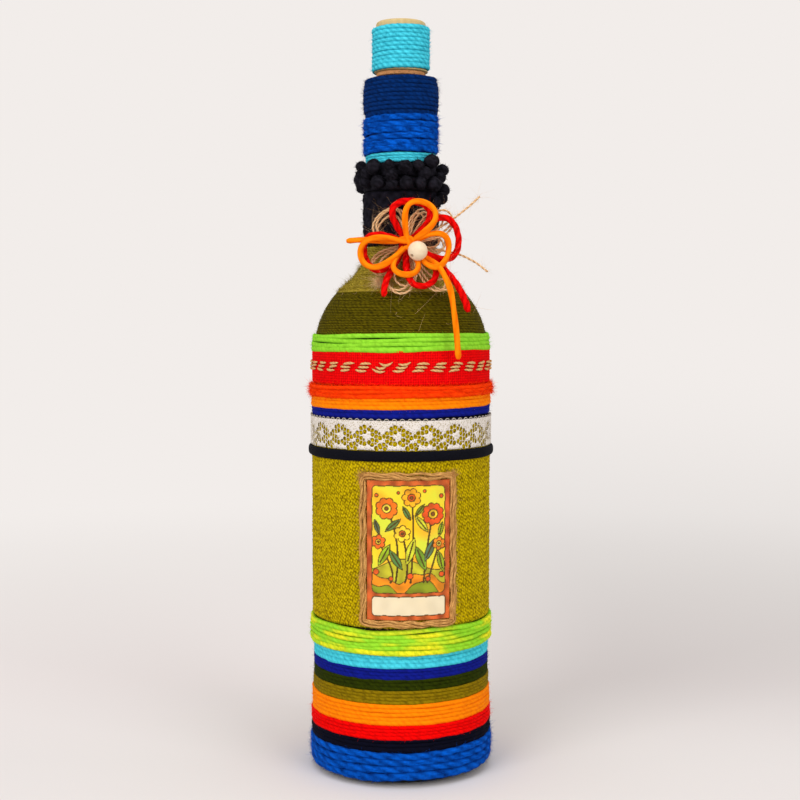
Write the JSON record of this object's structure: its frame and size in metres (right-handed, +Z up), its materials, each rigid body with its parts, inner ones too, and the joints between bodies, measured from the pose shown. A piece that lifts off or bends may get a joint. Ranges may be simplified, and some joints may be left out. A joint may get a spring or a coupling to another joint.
{
  "type": "decorated bottle",
  "caption": "Glass wine bottle dressed in wound coloured yarn, ribbons, lace and burlap, with a framed card, a cord bow with a bead and a yarn-wound stopper that pulls out.",
  "frame": {"origin": "centre of the standing ring, on the surface the bottle stands on", "axes": "+Z up along the bottle's axis towards the stopper, -Y out of the front with the card and the bow"},
  "size_m": [0.081, 0.0836, 0.3258],
  "materials": {
    "dark_glass": "glossy dark green bottle glass",
    "cork": "natural cork",
    "pale_wood": "bare pale wood",
    "turquoise_yarn": "plied yarn",
    "navy_yarn": "plied yarn",
    "royal_yarn": "thick fuzzy yarn",
    "black_pompom": "cut pile",
    "black_ribbon": "knitted ribbon",
    "light_thread": "fuzzy thread",
    "dark_thread": "fine thread",
    "lime_yarn": "plied yarn",
    "red_ribbon": "woven ribbon",
    "stitch_thread": "embroidery thread",
    "flame_yarn": "fuzzy yarn",
    "orange_yarn": "plied yarn",
    "ultramarine_yarn": "plied yarn",
    "lace": "openwork cotton lace",
    "burlap": "plain weave",
    "printed_card": "matte printed card",
    "jute_twine": "hairy twine",
    "variegated_yarn": "plied yarn, lime to yellow",
    "green_yarn": "plied yarn",
    "olive_yarn": "plied yarn",
    "red_yarn": "plied yarn",
    "red_cord": "plied cord",
    "orange_cord": "felted cord",
    "bead_wood": "matte painted bead"
  },
  "bodies": {
    "bottle": {"glass_bottle": "dark_glass", "neck_navy_yarn": "navy_yarn", "neck_royal_yarn": "royal_yarn", "neck_turquoise_yarn": "turquoise_yarn", "pompom_trim_upper": "black_pompom", "pompom_trim_lower": "black_pompom", "neck_black_ribbon": "black_ribbon", "shoulder_light_thread": "light_thread", "shoulder_dark_thread": "dark_thread", "shoulder_lime_yarn": "lime_yarn", "red_ribbon": "red_ribbon", "stitch_thread": "stitch_thread", "waist_flame_yarn": "flame_yarn", "waist_orange_yarn": "orange_yarn", "waist_ultramarine_yarn": "ultramarine_yarn", "lace_ribbon": "lace", "black_braid": "black_ribbon", "burlap_wrap": "burlap", "picture_card": "printed_card", "twine_frame": "jute_twine", "foot_variegated_yarn": "variegated_yarn", "foot_turquoise_yarn": "turquoise_yarn", "foot_ultramarine_yarn": "ultramarine_yarn", "foot_green_yarn": "green_yarn", "foot_olive_yarn": "olive_yarn", "foot_orange_yarn": "orange_yarn", "foot_red_yarn": "red_yarn", "foot_navy_yarn": "navy_yarn", "foot_royal_yarn": "royal_yarn", "bow_twine": "jute_twine", "bow_red_cord": "red_cord", "bow_orange_cord": "orange_cord", "bead": "bead_wood"},
    "stopper": {"stopper_shank": "cork", "stopper_head": "pale_wood", "stopper_yarn": "turquoise_yarn"}
  },
  "joints": [
    {"name": "stopper_pull", "type": "slide", "parent": "bottle", "child": "stopper", "axis": [0, 0, 1], "range_m": [0, 0.06]}
  ]
}
